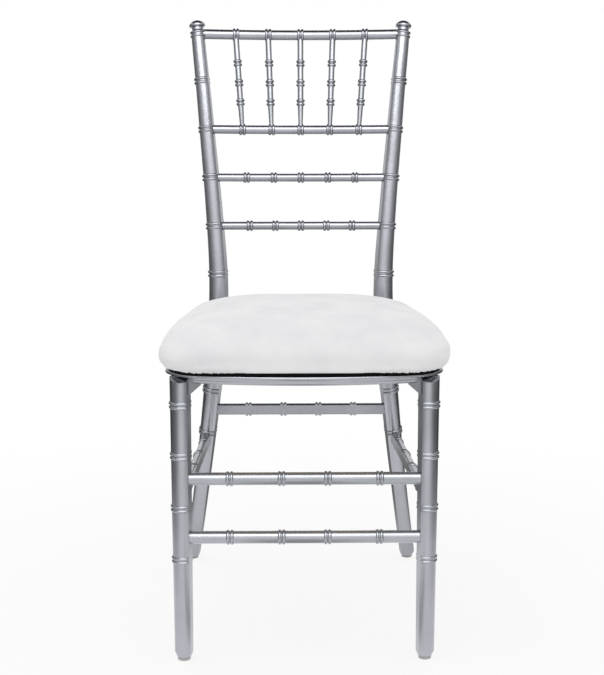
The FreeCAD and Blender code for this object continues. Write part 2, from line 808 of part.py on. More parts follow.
def build_rear_stretcher():
    """Bar between the rear posts with a flat front face."""
    centre = post_point(REAR_STRETCHER_Z)
    half = centre.x
    beads = []
    for x in REAR_RING_PLACES:
        beads += pair(x, STRETCHER_RING_PITCH, STRETCHER_RING_WIDTH, RAIL_RING_RISE)
    outline = [(-half, REAR_STRETCHER_R), (half, REAR_STRETCHER_R)]
    bar = turned(outline, beads, V(0, centre.y, REAR_STRETCHER_Z), RIGHT)
    front = centre.y - REAR_FLAT
    tool = box(V(-half - 5, front - 30, REAR_STRETCHER_Z - 30),
               V(half + 5, front, REAR_STRETCHER_Z + 30))
    return bar.cut(tool)


def rear_stretcher_tenon(gap):
    """Round tenons at both ends of the rear stretcher, as one bar right through it."""
    centre = post_point(REAR_STRETCHER_Z)
    end = centre.x - post_flat(REAR_STRETCHER_Z) + REAR_TENON_DEPTH + gap
    return rod(V(-end, centre.y, REAR_STRETCHER_Z), V(end, centre.y, REAR_STRETCHER_Z),
               REAR_TENON_R + gap)


# Feet and fasteners

def glide(centre):
    """Nail-on glide under one foot."""
    outline = [(0.0, GLIDE_R - 1.2), (0.8, GLIDE_R), (GLIDE_H - 1.0, GLIDE_R),
               (GLIDE_H, GLIDE_R - 0.6)]
    return turned(outline, [], V(centre.x, centre.y, 0), UP)


def nail(centre, gap):
    """Nail of a glide, head down."""
    base = V(centre.x, centre.y, NAIL_BOTTOM - gap)
    outline = [(0.0, NAIL_HEAD_R + gap), (NAIL_HEAD_H + 2 * gap, NAIL_HEAD_R + gap),
               (NAIL_HEAD_H + 2 * gap, NAIL_R + gap), (NAIL_TOP - NAIL_BOTTOM - 3, NAIL_R + gap),
               (NAIL_TOP - NAIL_BOTTOM + gap, 0.2)]
    return turned(outline, [], base, UP)


def screw(head_at, axis, head_r, shank_r, length, gap):
    """Countersunk screw with its head's face at a point, running along an axis."""
    head_h = head_r - shank_r
    outline = [(-gap, head_r + gap), (head_h, shank_r + gap),
               (length - 3.0, shank_r + gap), (length + gap, 0.3)]
    return turned(outline, [], head_at, axis)


def slot_cut(head_at, axis, head_r):
    """Cross-shaped recess in a screw head."""
    depth = 1.0
    half = head_r * 0.55
    side = straight_side(axis)
    other = axis.cross(side)
    bars = []
    for long_way, short_way in ((side, other), (other, side)):
        corners = []
        for a, b in ((-1, -1), (1, -1), (1, 1), (-1, 1)):
            corner = head_at - axis * 0.5
            corner = corner + long_way * (a * half)
            corners.append(corner + short_way * (b * 0.45))
        face = Part.Face(Part.makePolygon(corners + [corners[0]]))
        bars.append(face.extrude(axis * (depth + 0.5)))
    return bars[0].fuse(bars[1])


def leg_screw_head():
    """Middle of the head's face of the right-hand leg screw."""
    return V(LEG_SCREW_X, LEG_Y + LEG_SCREW_Y, SEAT_TOP - 0.3)


def leg_screw(gap):
    """Screw through the front rail into the right-hand front leg."""
    return screw(leg_screw_head(), UP * -1, SCREW_HEAD_R, LEG_SCREW_R, LEG_SCREW_LENGTH, gap)


def post_bolt(gap):
    """Bolt through the right-hand post into the side rail."""
    z = SEAT_UNDER + (TENON_LOW + TENON_HIGH) / 2
    head = rod(V(BOLT_X, LEG_Y + BOLT_HEAD_Y, z),
               V(BOLT_X, LEG_Y + BOLT_HEAD_Y + BOLT_HEAD_H, z), BOLT_HEAD_R + gap)
    if gap:
        head = rod(V(BOLT_X, LEG_Y + BOLT_HEAD_Y - gap, z),
                   V(BOLT_X, LEG_Y + BOLT_HEAD_Y + 40, z), BOLT_HEAD_R + 0.5)
    shank = rod(V(BOLT_X, LEG_Y + BOLT_END_Y - gap, z),
                V(BOLT_X, LEG_Y + BOLT_HEAD_Y + 0.5, z), BOLT_R + gap)
    bolt = head.fuse(shank)
    if not gap:
        bolt = bolt.cut(hex_socket(V(BOLT_X, LEG_Y + BOLT_HEAD_Y + BOLT_HEAD_H, z)))
    return bolt


def hex_socket(mouth):
    """Six-sided recess in the head of the post bolt."""
    corners = []
    for i in range(6):
        angle = math.radians(60 * i)
        across = 2.3 * math.cos(angle)
        corners.append(V(mouth.x + across, mouth.y + 1, mouth.z + 2.3 * math.sin(angle)))
    face = Part.Face(Part.makePolygon(corners + [corners[0]]))
    return face.extrude(V(0, -3.6, 0))


def barrel_nut(gap):
    """Cross dowel in the right side rail that the bolt screws into."""
    low = V(BOLT_X, LEG_Y + BARREL_Y, SEAT_UNDER + 1.2 - (3 if gap else 0))
    high = V(BOLT_X, LEG_Y + BARREL_Y, SEAT_UNDER + 1.2 + BARREL_H + gap)
    return rod(low, high, BARREL_R + gap)


def panel_screw_places():
    """Places of the panel screws on the ledge, right-hand side, behind the front legs."""
    ledge = SIDE_RAIL_WIDTH - REBATE / 2
    front = FRONT_RAIL_DEPTH - FRONT_OVERHANG - REBATE / 2
    back = REAR_RAIL_FRONT + REBATE / 2
    return [
        (60.0, front),
        (side_x(110.0, ledge), 110.0),
        (side_x(250.0, ledge), 250.0),
        (50.0, back),
    ]


def panel_screw(place, gap):
    """Screw of the seat panel."""
    head = V(place[0], LEG_Y + place[1], PANEL_TOP)
    return screw(head, UP * -1, PANEL_SCREW_HEAD_R, PANEL_SCREW_R, PANEL_SCREW_LENGTH, gap)


def brace_screw(gap):
    """Screw up through the right-hand brace into the front rail."""
    head = V(LEG_X - LEG_FLAT - 7.0, LEG_Y + BRACE_Y, SEAT_UNDER - 6.0)
    body = screw(head, UP, BRACE_SCREW_HEAD_R, BRACE_SCREW_R, 14.0, gap)
    if gap:
        body = body.fuse(rod(head - V(0, 0, 12), head, BRACE_SCREW_HEAD_R + gap))
    return body


# Cushion

def rounded_outline(corners, radius, bulges):
    """Closed plan outline with round corners and edges that bow out."""
    count = len(corners)
    middle = sum(corners, V(0, 0, 0)) * (1 / count)
    starts = []
    bends = []
    ends = []
    for i in range(count):
        here = corners[i]
        before = corners[i - 1] - here
        after = corners[(i + 1) % count] - here
        half = before.getAngle(after) / 2
        before.normalize()
        after.normalize()
        run = radius / math.tan(half)
        bisector = before + after
        bisector.normalize()
        starts.append(here + before * run)
        bends.append(here + bisector * (radius / math.sin(half) - radius))
        ends.append(here + after * run)
    edges = []
    for i in range(count):
        edges.append(Part.Arc(starts[i], bends[i], ends[i]).toShape())
        goal = starts[(i + 1) % count]
        mid = (ends[i] + goal) * 0.5
        out = (goal - ends[i]).cross(UP)
        out.normalize()
        if out.dot(mid - middle) < 0:
            out = out * -1
        edges.append(Part.Arc(ends[i], mid + out * bulges[i], goal).toShape())
    return Part.Wire(edges)


def plan_outline(half_front, half_back, front, back, radius, bulges, z):
    """Rounded outline of the cushion or its board, starting at the left front corner."""
    corners = [
        V(-half_front, LEG_Y + front, z),
        V(half_front, LEG_Y + front, z),
        V(half_back, LEG_Y + back, z),
        V(-half_back, LEG_Y + back, z),
    ]
    return rounded_outline(corners, radius, bulges)


def pad_outline(spread, share, thinner, z):
    """Outline of the cushion, drawn in by a wall thickness.

    spread goes from 0 at the hem to 1 at the widest outline, and share shrinks the result.
    """
    def blend(hem, widest):
        return (hem + (widest - hem) * spread) * share

    middle = (PAD_FRONT + PAD_BACK) / 2
    front = middle + blend(HEM_FRONT - middle, PAD_FRONT - middle) + thinner
    back = middle + blend(HEM_BACK - middle, PAD_BACK - middle) - thinner
    return plan_outline(blend(HEM_HALF_FRONT, PAD_HALF_FRONT) - thinner,
                        blend(HEM_HALF_BACK, PAD_HALF_BACK) - thinner,
                        front, back, blend(HEM_CORNER, PAD_CORNER) - thinner,
                        [blend(*bulge) for bulge in zip(HEM_BULGES, PAD_BULGES)], z)


def pad_solid(thinner, drop):
    """Crowned cushion form, drawn in by a wall thickness and continued down by a drop."""
    wires = []
    if drop:
        wires.append(pad_outline(0.0, 1.0, thinner, BOARD_TOP - drop))
    for height, spread in PAD_HEM:
        wires.append(pad_outline(spread, 1.0, thinner, BOARD_TOP + height))
    for share in PAD_SHARES:
        height = (PAD_CROWN - thinner) * (1 - share ** 2) ** PAD_CROWN_POWER
        wires.append(pad_outline(1.0, share, thinner, BOARD_TOP + PAD_BELLY + height))
    return Part.makeLoft(wires, True, False, False, PAD_DEGREE)


def board_plate():
    """Stiff board under the cushion."""
    outline = pad_outline(0.0, 1.0, BOARD_INSET, BOARD_UNDER)
    return Part.Face(outline).extrude(V(0, 0, BOARD_THICK))


def pad_patches(low, high):
    """Four square patches between two heights."""
    patches = []
    for x, y in HOOK_PAD_PLACES:
        half = HOOK_PAD / 2
        patch = box(V(x - half, LEG_Y + y - half, low), V(x + half, LEG_Y + y + half, high))
        patches += both(patch)
    return patches


# Assembly

def build_nodes():
    """Every node of the chair by name, each with its list of solids."""
    nodes = {}

    post = build_post()
    posts = both(post)
    leg = build_leg()
    slab = seat_slab()

    rails = {}
    for name, z, radius, places in BACK_RAILS:
        rails[name] = build_rail(z, radius, places)
    spindles = {}
    for place in (-2, -1, 0):
        spindle = build_spindle(place)
        spindle = largest(spindle.cut([rails["top_rail"], rails["back_rail_upper"]]))
        spindles[place] = spindle.fuse(spindle_tenon(place, 0)).removeSplitter()
    for place in (1, 2):
        spindles[place] = mirrored(spindles[-place])
    for name, z, radius, places in BACK_RAILS:
        rail = largest(rails[name].cut(posts)).fuse(rail_tenon(z, 0)).removeSplitter()
        if name in ("top_rail", "back_rail_upper"):
            rail = rail.cut([spindle_tenon(place, GLUE_GAP) for place in spindles])
        nodes[name] = [rail]
    for number, place in enumerate(sorted(spindles), 1):
        nodes["spindle_%d" % number] = [spindles[place]]

    legs = both(leg)
    for name, z in FRONT_STRETCHERS:
        bar = largest(build_front_stretcher(z).cut(legs))
        nodes[name] = [bar.fuse(front_stretcher_tenon(z, 0)).removeSplitter()]
    side_bar = largest(build_side_stretcher().cut([leg, post]))
    side_bar = side_bar.fuse(side_stretcher_tenon(0)).removeSplitter()
    nodes["side_stretcher_right"] = [side_bar]
    nodes["side_stretcher_left"] = [mirrored(side_bar)]
    rear_bar = largest(build_rear_stretcher().cut(posts))
    nodes["rear_stretcher"] = [rear_bar.fuse(rear_stretcher_tenon(0)).removeSplitter()]

    brace = largest(leg_brace().cut([leg, slab]))
    brace = brace.cut(brace_screw(SCREW_GAP))
    nodes["leg_brace_right"] = [brace]
    nodes["leg_brace_left"] = [mirrored(brace)]

    foot = V(LEG_X, LEG_Y, GLIDE_H)
    rear_foot = post_point(GLIDE_H)
    leg = leg.cut([front_stretcher_tenon(z, GLUE_GAP) for _, z in FRONT_STRETCHERS]
                  + [side_stretcher_tenon(GLUE_GAP), leg_screw(SCREW_GAP), nail(foot, SCREW_GAP)])
    nodes["front_leg_right"] = [leg]
    nodes["front_leg_left"] = [mirrored(leg)]

    cutters = [rail_tenon(z, GLUE_GAP) for _, z, _, _ in BACK_RAILS]
    cutters += [side_stretcher_tenon(GLUE_GAP), rear_stretcher_tenon(GLUE_GAP)]
    cutters += [side_post_tenon(GLUE_GAP), rear_post_tenon(GLUE_GAP)]
    cutters += [post_bolt(SCREW_GAP), nail(rear_foot, SCREW_GAP)]
    whole_post = post
    post = post.cut(cutters)
    nodes["rear_post_right"] = [post]
    nodes["rear_post_left"] = [mirrored(post)]

    joint = FRONT_RAIL_DEPTH - FRONT_OVERHANG
    rebate = opening(REBATE, PANEL_UNDER, SEAT_TOP + 2)
    front_rail = slab.common(seat_region(-60, joint, -250, 250))
    front_rail = front_rail.cut([rebate] + both(leg_socket()) + both(leg_screw(SCREW_GAP))
                                + both(front_corner_tenon(GLUE_GAP)) + both(brace_screw(SCREW_GAP)))
    side_rail = slab.common(seat_region(joint, SIDE_RAIL_END, 0, 250))
    side_rail = side_rail.cut([opening(0.0, SEAT_UNDER - 2, SEAT_TOP + 2),
                               seat_region(REAR_RAIL_FRONT, 400, -10, REAR_RAIL_HALF + GLUE_GAP),
                               whole_post])
    side_rail = largest(side_rail).fuse([front_corner_tenon(0), side_post_tenon(0)]).removeSplitter()
    side_rail = side_rail.cut([rebate, post_bolt(SCREW_GAP), barrel_nut(SCREW_GAP)])
    rear_rail = slab.common(seat_region(REAR_RAIL_FRONT, 400, -REAR_RAIL_HALF, REAR_RAIL_HALF))
    rear_rail = largest(rear_rail.cut([whole_post, mirrored(whole_post)]))
    rear_rail = rear_rail.fuse(both(rear_post_tenon(0))).removeSplitter().cut(rebate)
    panel = opening(REBATE - 0.5, PANEL_UNDER, PANEL_TOP)
    places = panel_screw_places()
    holes = []
    for place in places:
        holes += both(panel_screw(place, SCREW_GAP))
    nodes["seat_panel"] = [panel.cut(holes)]
    nodes["seat_rail_front"] = [front_rail.cut(holes)]
    nodes["seat_rail_rear"] = [rear_rail.cut(holes)]
    side_rail = side_rail.cut(holes)
    nodes["seat_rail_right"] = [side_rail]
    nodes["seat_rail_left"] = [mirrored(side_rail)]

    panel_screws = []
    for place in places:
        head = V(place[0], LEG_Y + place[1], PANEL_TOP)
        body = panel_screw(place, 0).cut(slot_cut(head, UP * -1, PANEL_SCREW_HEAD_R))
        panel_screws += both(body)
    nodes["panel_screws"] = panel_screws
    nodes["leg_screws"] = both(leg_screw(0).cut(slot_cut(leg_screw_head(), UP * -1, SCREW_HEAD_R)))
    nodes["post_bolts"] = both(post_bolt(0))
    nodes["barrel_nuts"] = both(barrel_nut(0).cut(post_bolt(0.02)))
    nodes["brace_screws"] = both(brace_screw(0))

    feet = {"front_right": foot, "rear_right": rear_foot}
    nails = []
    for name, centre in feet.items():
        body = glide(centre).cut(nail(centre, SCREW_GAP))
        nodes["glide_" + name] = [body]
        nodes["glide_" + name.replace("right", "left")] = [mirrored(body)]
        nails += both(nail(centre, 0))
    nodes["glide_nails"] = nails

    nodes["seat_loop_pads"] = pad_patches(PANEL_TOP, PANEL_TOP + LOOP_PAD_THICK)
    nodes["cushion_hook_pads"] = pad_patches(BOARD_UNDER - HOOK_PAD_THICK, BOARD_UNDER)
    nodes["cushion_board"] = [board_plate()]
    hollow = pad_solid(COVER_THICK, 3.0)
    above_board = box(V(-300, -400, BOARD_TOP), V(300, 400, BOARD_TOP + 200))
    nodes["cushion_foam"] = [hollow.common(above_board)]
    nodes["cushion_cover"] = [pad_solid(0.0, 0.0).cut(hollow)]
    return nodes


def largest(shape):
    """The biggest solid of a shape."""
    return max(shape.Solids, key=lambda solid: solid.Volume)


def main():
    """Build the chair and write one STEP file for each node."""
    os.makedirs("parts", exist_ok=True)
    low = V(1e9, 1e9, 1e9)
    high = V(-1e9, -1e9, -1e9)
    for name, solids in build_nodes().items():
        bodies = [solid for shape in solids for solid in shape.Solids]
        shape = bodies[0] if len(bodies) == 1 else Part.makeCompound(bodies)
        shape.exportStep("parts/%s.step" % name)
        edge = shape.optimalBoundingBox(False)
        low = V(min(low.x, edge.XMin), min(low.y, edge.YMin), min(low.z, edge.ZMin))
        high = V(max(high.x, edge.XMax), max(high.y, edge.YMax), max(high.z, edge.ZMax))
        print("%-22s solids %d, volume %.0f, valid %s"
              % (name, len(bodies), shape.Volume, shape.isValid()))
    print("low corner", low, "high corner", high)


main()
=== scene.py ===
"""Chiavari chair: finishes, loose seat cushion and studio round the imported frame.

All sizes are in metres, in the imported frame: +X is the viewer's right, +Y is back, +Z is up.
"""

import json
import logging
import math
from dataclasses import dataclass, field
from enum import Enum

import bmesh
import bpy
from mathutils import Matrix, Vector, kdtree, noise

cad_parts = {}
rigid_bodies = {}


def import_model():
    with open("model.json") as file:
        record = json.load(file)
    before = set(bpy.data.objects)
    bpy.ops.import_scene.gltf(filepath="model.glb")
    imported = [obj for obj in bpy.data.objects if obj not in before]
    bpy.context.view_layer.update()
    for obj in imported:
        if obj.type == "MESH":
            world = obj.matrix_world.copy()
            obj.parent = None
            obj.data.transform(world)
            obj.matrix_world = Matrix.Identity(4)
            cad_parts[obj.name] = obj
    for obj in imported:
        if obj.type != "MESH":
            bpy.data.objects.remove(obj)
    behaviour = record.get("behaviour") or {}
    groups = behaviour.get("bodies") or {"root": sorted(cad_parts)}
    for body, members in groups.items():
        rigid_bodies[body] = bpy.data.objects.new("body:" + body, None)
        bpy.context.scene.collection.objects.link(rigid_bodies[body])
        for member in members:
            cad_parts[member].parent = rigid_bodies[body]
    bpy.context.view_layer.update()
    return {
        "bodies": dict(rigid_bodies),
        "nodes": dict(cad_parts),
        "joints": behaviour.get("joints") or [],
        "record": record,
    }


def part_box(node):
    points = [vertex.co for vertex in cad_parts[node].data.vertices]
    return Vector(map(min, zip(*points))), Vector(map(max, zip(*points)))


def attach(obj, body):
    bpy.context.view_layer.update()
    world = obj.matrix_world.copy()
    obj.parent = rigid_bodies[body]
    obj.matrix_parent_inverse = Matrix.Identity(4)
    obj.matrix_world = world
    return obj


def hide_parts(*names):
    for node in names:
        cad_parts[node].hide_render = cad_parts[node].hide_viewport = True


LOG = logging.getLogger("chair")

Colour = tuple[float, float, float]
Point = tuple[float, float, float]
Pair = tuple[float, float]

WHITE = (1.0, 1.0, 1.0, 1.0)
UNSTRETCHED: Point = (1.0, 1.0, 1.0)


class Grain(Enum):
    """Which way a wooden piece's grain runs, as the stretch of its pattern along X, Y and Z."""

    UPRIGHT = (260.0, 260.0, 14.0)
    ACROSS = (14.0, 260.0, 260.0)
    FORE_AND_AFT = (260.0, 14.0, 260.0)


@dataclass(frozen=True)
class Fade:
    """A smooth change from one level to another over a span of distance."""

    span: Pair
    levels: Pair


class NodeTree:
    """A material's or world's node tree, with short ways to add and join its nodes."""

    def __init__(self, tree: bpy.types.NodeTree) -> None:
        """Start with the tree empty.

        Args:
            tree: The node tree.
        """
        self.tree = tree
        self.tree.nodes.clear()

    def add(self, kind: str, **values: object) -> bpy.types.Node:
        """Add a node and set its sockets and properties.

        Args:
            kind: Blender's name for the node type.
            **values: Socket names with underscores for spaces, or node properties.

        Returns:
            The new node.
        """
        node = self.tree.nodes.new(kind)
        for key, value in values.items():
            socket = key.replace("_", " ")
            match = next((s for s in node.inputs if s.name.lower() == socket.lower()), None)
            if match is not None:
                match.default_value = value
            else:
                setattr(node, key, value)
        return node

    def join(self, source: bpy.types.Node, output: str, target: bpy.types.Node, socket: str) -> None:
        """Link one node's output to another node's input.

        Args:
            source: The node that gives the value.
            output: The name of its output.
            target: The node that takes the value.
            socket: The name of its input.
        """
        self.tree.links.new(source.outputs[output], target.inputs[socket])

    def combine(self, operation: str, first: bpy.types.NodeSocket,
                second: bpy.types.NodeSocket) -> bpy.types.NodeSocket:
        """Combine two values.

        Args:
            operation: Blender's name for the operation.
            first: One value.
            second: The other value.

        Returns:
            The result.
        """
        node = self.add("ShaderNodeMath", operation=operation)
        self.tree.links.new(first, node.inputs[0])
        self.tree.links.new(second, node.inputs[1])
        return node.outputs["Value"]

    def length(self, source: bpy.types.Node, output: str) -> bpy.types.NodeSocket:
        """The length of a vector.

        Args:
            source: The node that gives the vector.
            output: The name of its output.

        Returns:
            The length.
        """
        node = self.add("ShaderNodeVectorMath", operation="LENGTH")
        self.join(source, output, node, "Vector")
        return node.outputs["Value"]

    def fade(self, distance: bpy.types.NodeSocket, fade: Fade) -> bpy.types.NodeSocket:
        """A value that changes with distance.

        Args:
            distance: The distance.
            fade: How the value changes.

        Returns:
            The value.
        """
        node = self.add("ShaderNodeMapRange", From_Min=fade.span[0], From_Max=fade.span[1],
                        To_Min=fade.levels[0], To_Max=fade.levels[1], interpolation_type="SMOOTHSTEP")
        self.tree.links.new(distance, node.inputs["Value"])
        return node.outputs["Result"]

    def mix(self, share: bpy.types.NodeSocket, first: bpy.types.Node,
            second: bpy.types.Node) -> bpy.types.Node:
        """Mix two surfaces or backgrounds.

        Args:
            share: How much of the second one shows.
            first: The node of the first one.
            second: The node of the second one.

        Returns:
            The mixing node.
        """
        node = self.add("ShaderNodeMixShader")
        self.tree.links.new(share, node.inputs["Fac"])
        self.tree.links.new(first.outputs[0], node.inputs[1])
        self.tree.links.new(second.outputs[0], node.inputs[2])
        return node


class Shader(NodeTree):
    """A material, with the patterns that the finishes share."""

    def __init__(self, name: str) -> None:
        """Start an empty material.

        Args:
            name: What the material is called.
        """
        self.material = bpy.data.materials.new(name)
        self.material.use_nodes = True
        super().__init__(self.material.node_tree)
        self.output = self.add("ShaderNodeOutputMaterial")

    def place(self, scale: Point, shift: Point = (0.0, 0.0, 0.0)) -> bpy.types.Node:
        """Object coordinates stretched by a scale, then moved.

        Args:
            scale: How much finer the pattern is along X, Y and Z.
            shift: What is added to the stretched coordinates.

        Returns:
            The Mapping node.
        """
        where = self.add("ShaderNodeTexCoord")
        mapping = self.add("ShaderNodeMapping", Scale=scale, Location=shift)
        self.join(where, "Object", mapping, "Vector")
        return mapping

    def noise(self, mapping: bpy.types.Node, scale: float, detail: float,
              roughness: float = 0.5) -> bpy.types.Node:
        """A noise pattern on mapped coordinates.

        Args:
            mapping: The Mapping node that places it.
            scale: How fine the pattern is.
            detail: How many finer layers it has.
            roughness: How strong the finer layers are.

        Returns:
            The noise node.
        """
        node = self.add("ShaderNodeTexNoise", Scale=scale, Detail=detail, Roughness=roughness)
        self.join(mapping, "Vector", node, "Vector")
        return node

    def ramp(self, source: bpy.types.Node, output: str, low: float, high: float,
             dark: Colour, light: Colour) -> bpy.types.Node:
        """A two-colour ramp over part of a value's range.

        Args:
            source: The node that gives the value.
            output: The name of its output.
            low: The value at which the dark colour ends.
            high: The value at which the light colour starts.
            dark: The colour below the low value.
            light: The colour above the high value.

        Returns:
            The ramp node.
        """
        node = self.add("ShaderNodeValToRGB")
        stops = node.color_ramp.elements
        stops[0].position, stops[0].color = low, (*dark, 1.0)
        stops[1].position, stops[1].color = high, (*light, 1.0)
        self.join(source, output, node, "Fac")
        return node

    def bump(self, layers: list[tuple[bpy.types.Node, str, float, float]]) -> bpy.types.Node:
        """A stack of bumps.

        Args:
            layers: Node, output, strength and depth in metres of each height pattern.

        Returns:
            The last bump node.
        """
        below = None
        for source, output, strength, depth in layers:
            node = self.add("ShaderNodeBump", Strength=strength, Distance=depth)
            self.join(source, output, node, "Height")
            if below is not None:
                self.join(below, "Normal", node, "Normal")
            below = node
        return below

    def finish(self, surface: bpy.types.Node) -> bpy.types.Material:
        """Send a surface to the output.

        Args:
            surface: The shader node.

        Returns:
            The finished material.
        """
        self.tree.links.new(surface.outputs[0], self.output.inputs["Surface"])
        return self.material


@dataclass(frozen=True)
class SilverLacquer:
    """Silver metallic lacquer sprayed on turned wood."""

    name: str = "silver_lacquer"
    dark: Colour = (0.38, 0.393, 0.422)
    light: Colour = (0.44, 0.453, 0.488)
    roughness: float = 0.27
    roughness_spread: Pair = (-0.03, 0.05)
    cloud_size: float = 16.0
    peel_size: float = 420.0
    peel_depth: float = 0.0002
    fibre_depth: float = 0.0003
    bump_strength: float = 0.05

    def material(self, grain: Grain) -> bpy.types.Material:
        """Make the finish for one grain direction.

        Args:
            grain: Which way the wood under the lacquer runs.

        Returns:
            The material.
        """
        shader = Shader(f"{self.name}_{grain.name.lower()}")
        flow = shader.place(grain.value)
        still = shader.place(UNSTRETCHED)
        fibres = shader.noise(flow, 1.0, 4.0, 0.55)
        clouds = shader.noise(still, self.cloud_size, 3.0)
        peel = shader.noise(still, self.peel_size, 1.0)
        colour = shader.ramp(clouds, "Fac", 0.3, 0.7, self.dark, self.light)
        glossiest, dullest = (self.roughness + spread for spread in self.roughness_spread)
        sheen = shader.add("ShaderNodeMapRange", From_Min=0.25, From_Max=0.75,
                           To_Min=glossiest, To_Max=dullest)
        shader.join(fibres, "Fac", sheen, "Value")
        bumps = shader.bump([(peel, "Fac", self.bump_strength, self.peel_depth),
                             (fibres, "Fac", self.bump_strength, self.fibre_depth)])
        surface = shader.add("ShaderNodeBsdfPrincipled", Metallic=1.0)
        shader.join(colour, "Color", surface, "Base Color")
        shader.join(sheen, "Result", surface, "Roughness")
        shader.join(bumps, "Normal", surface, "Normal")
        return shader.finish(surface)


@dataclass(frozen=True)
class StretchCloth:
    """White stretch cloth of the seat cover, a fine plain knit."""

    name: str = "white_stretch_cloth"
    dark: Colour = (0.80, 0.80, 0.815)
    light: Colour = (0.86, 0.86, 0.87)
    roughness: float = 0.85
    sheen: float = 0.15
    thread: float = 0.0009
    weave_depth: float = 0.0002
    cloud_size: float = 22.0
    cloud_depth: float = 0.002

    def threads(self, shader: Shader, mapping: bpy.types.Node, direction: str) -> bpy.types.Node:
        """The threads that lie one way.

        Args:
            shader: The shader that they are part of.
            mapping: The Mapping node that places them.
            direction: The axis that they follow each other along.

        Returns:
            The wave node.
        """
        # A wave texture repeats 20 times in a length of two pi
        pitch = 2.0 * math.pi / self.thread / 20.0
        waves = shader.add("ShaderNodeTexWave", Scale=pitch, Distortion=0.6, Detail=1.0,
                           wave_type="BANDS", bands_direction=direction)
        shader.join(mapping, "Vector", waves, "Vector")
        return waves

    def material(self) -> bpy.types.Material:
        """Make the cloth.

        Returns:
            The material.
        """
        shader = Shader(self.name)
        still = shader.place(UNSTRETCHED)
        across = self.threads(shader, still, "X")
        along = self.threads(shader, still, "Y")
        weave = shader.combine("MAXIMUM", across.outputs["Fac"], along.outputs["Fac"])
        clouds = shader.noise(still, self.cloud_size, 3.0)
        colour = shader.ramp(clouds, "Fac", 0.35, 0.65, self.dark, self.light)
        bumps = shader.bump([(clouds, "Fac", 0.15, self.cloud_depth),
                             (weave.node, "Value", 0.25, self.weave_depth)])
        surface = shader.add("ShaderNodeBsdfPrincipled", Roughness=self.roughness, Sheen_Weight=self.sheen)
        shader.join(colour, "Color", surface, "Base Color")
        shader.join(bumps, "Normal", surface, "Normal")
        return shader.finish(surface)


@dataclass(frozen=True)
class PlainFinish:
    """A mottled finish for small or hidden pieces, with a fine bump."""

    name: str
    dark: Colour
    light: Colour
    roughness: float
    metallic: float = 0.0
    specular: float = 0.5
    stretch: Point = UNSTRETCHED
    size: float = 60.0
    depth: float = 0.0003

    def material(self) -> bpy.types.Material:
        """Make the finish.

        Returns:
            The material.
        """
        shader = Shader(self.name)
        mapping = shader.place(self.stretch)
        pattern = shader.noise(mapping, self.size, 5.0, 0.6)
        colour = shader.ramp(pattern, "Fac", 0.35, 0.65, self.dark, self.light)
        bumps = shader.bump([(pattern, "Fac", 0.3, self.depth)])
        surface = shader.add("ShaderNodeBsdfPrincipled", Roughness=self.roughness, Metallic=self.metallic,
                             Specular_IOR_Level=self.specular)
        shader.join(colour, "Color", surface, "Base Color")
        shader.join(bumps, "Normal", surface, "Normal")
        return shader.finish(surface)


BIRCH_PLY = PlainFinish("birch_ply", (0.46, 0.35, 0.22), (0.60, 0.48, 0.33), 0.55,
                        stretch=(14.0, 1.0, 1.0), size=30.0)
ZINC_STEEL = PlainFinish("zinc_steel", (0.45, 0.46, 0.48), (0.62, 0.63, 0.66), 0.32, metallic=1.0,
                         size=200.0, depth=0.0001)
GLIDE_PLASTIC = PlainFinish("glide_plastic", (0.40, 0.40, 0.405), (0.50, 0.50, 0.505), 0.42, size=300.0)
BLACK_BOARD = PlainFinish("black_board", (0.002, 0.002, 0.0025), (0.006, 0.006, 0.007), 0.9,
                          specular=0.08, stretch=(3.0, 1.0, 1.0), size=120.0)
HOOK_TAPE = PlainFinish("hook_and_loop_tape", (0.012, 0.012, 0.012), (0.05, 0.05, 0.052), 0.95,
                        size=900.0, depth=0.001)
FOAM = PlainFinish("foam", (0.72, 0.66, 0.48), (0.80, 0.75, 0.58), 0.95, size=500.0, depth=0.0008)


